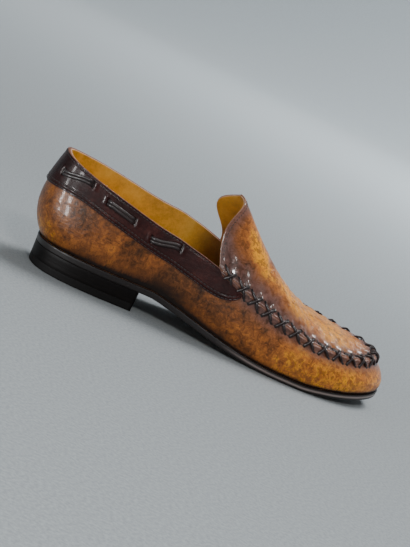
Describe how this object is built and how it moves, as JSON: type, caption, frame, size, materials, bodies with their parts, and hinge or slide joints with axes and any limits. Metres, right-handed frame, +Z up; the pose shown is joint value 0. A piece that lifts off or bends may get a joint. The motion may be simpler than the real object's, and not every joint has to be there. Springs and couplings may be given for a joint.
{
  "type": "leather loafer shoe",
  "caption": "Slip-on leather dress shoe for the right foot: open collar, lace-sewn apron rising into a tall tongue, low heel.",
  "frame": {"origin": "centre of the heel's rest face, on the floor", "axes": "+X to the toe, +Y to the inner side of the foot, +Z up"},
  "size_m": [0.2986, 0.1005, 0.1067],
  "materials": {
    "tan_leather": "burnished, glossy, brown patina",
    "band_leather": "dark brown, polished",
    "lining_leather": "smooth, satin",
    "sole_leather": "dyed dark, edge waxed",
    "heel_leather": "dyed dark, waxed",
    "heel_rubber": "matt",
    "lace": "round thong, satin"
  },
  "bodies": {
    "root": {"apron": "tan_leather", "collar_band": "band_leather", "collar_lace_inner_1": "lace", "collar_lace_inner_2": "lace", "collar_lace_inner_3": "lace", "collar_lace_outer_1": "lace", "collar_lace_outer_2": "lace", "collar_lace_outer_3": "lace", "heel_block": "heel_leather", "insole": "lining_leather", "outsole": "sole_leather", "seam_cross_01": "lace", "seam_cross_02": "lace", "seam_cross_03": "lace", "seam_cross_04": "lace", "seam_cross_05": "lace", "seam_cross_06": "lace", "seam_cross_07": "lace", "seam_cross_08": "lace", "seam_cross_09": "lace", "seam_cross_10": "lace", "seam_cross_11": "lace", "seam_cross_12": "lace", "seam_cross_13": "lace", "seam_cross_14": "lace", "seam_cross_15": "lace", "seam_cross_16": "lace", "seam_cross_17": "lace", "seam_cross_18": "lace", "seam_cross_19": "lace", "seam_cross_20": "lace", "seam_cross_21": "lace", "seam_cross_22": "lace", "seam_cross_23": "lace", "seam_cross_24": "lace", "seam_cross_25": "lace", "top_lift": "heel_rubber", "upper": "tan_leather"}
  },
  "joints": []
}
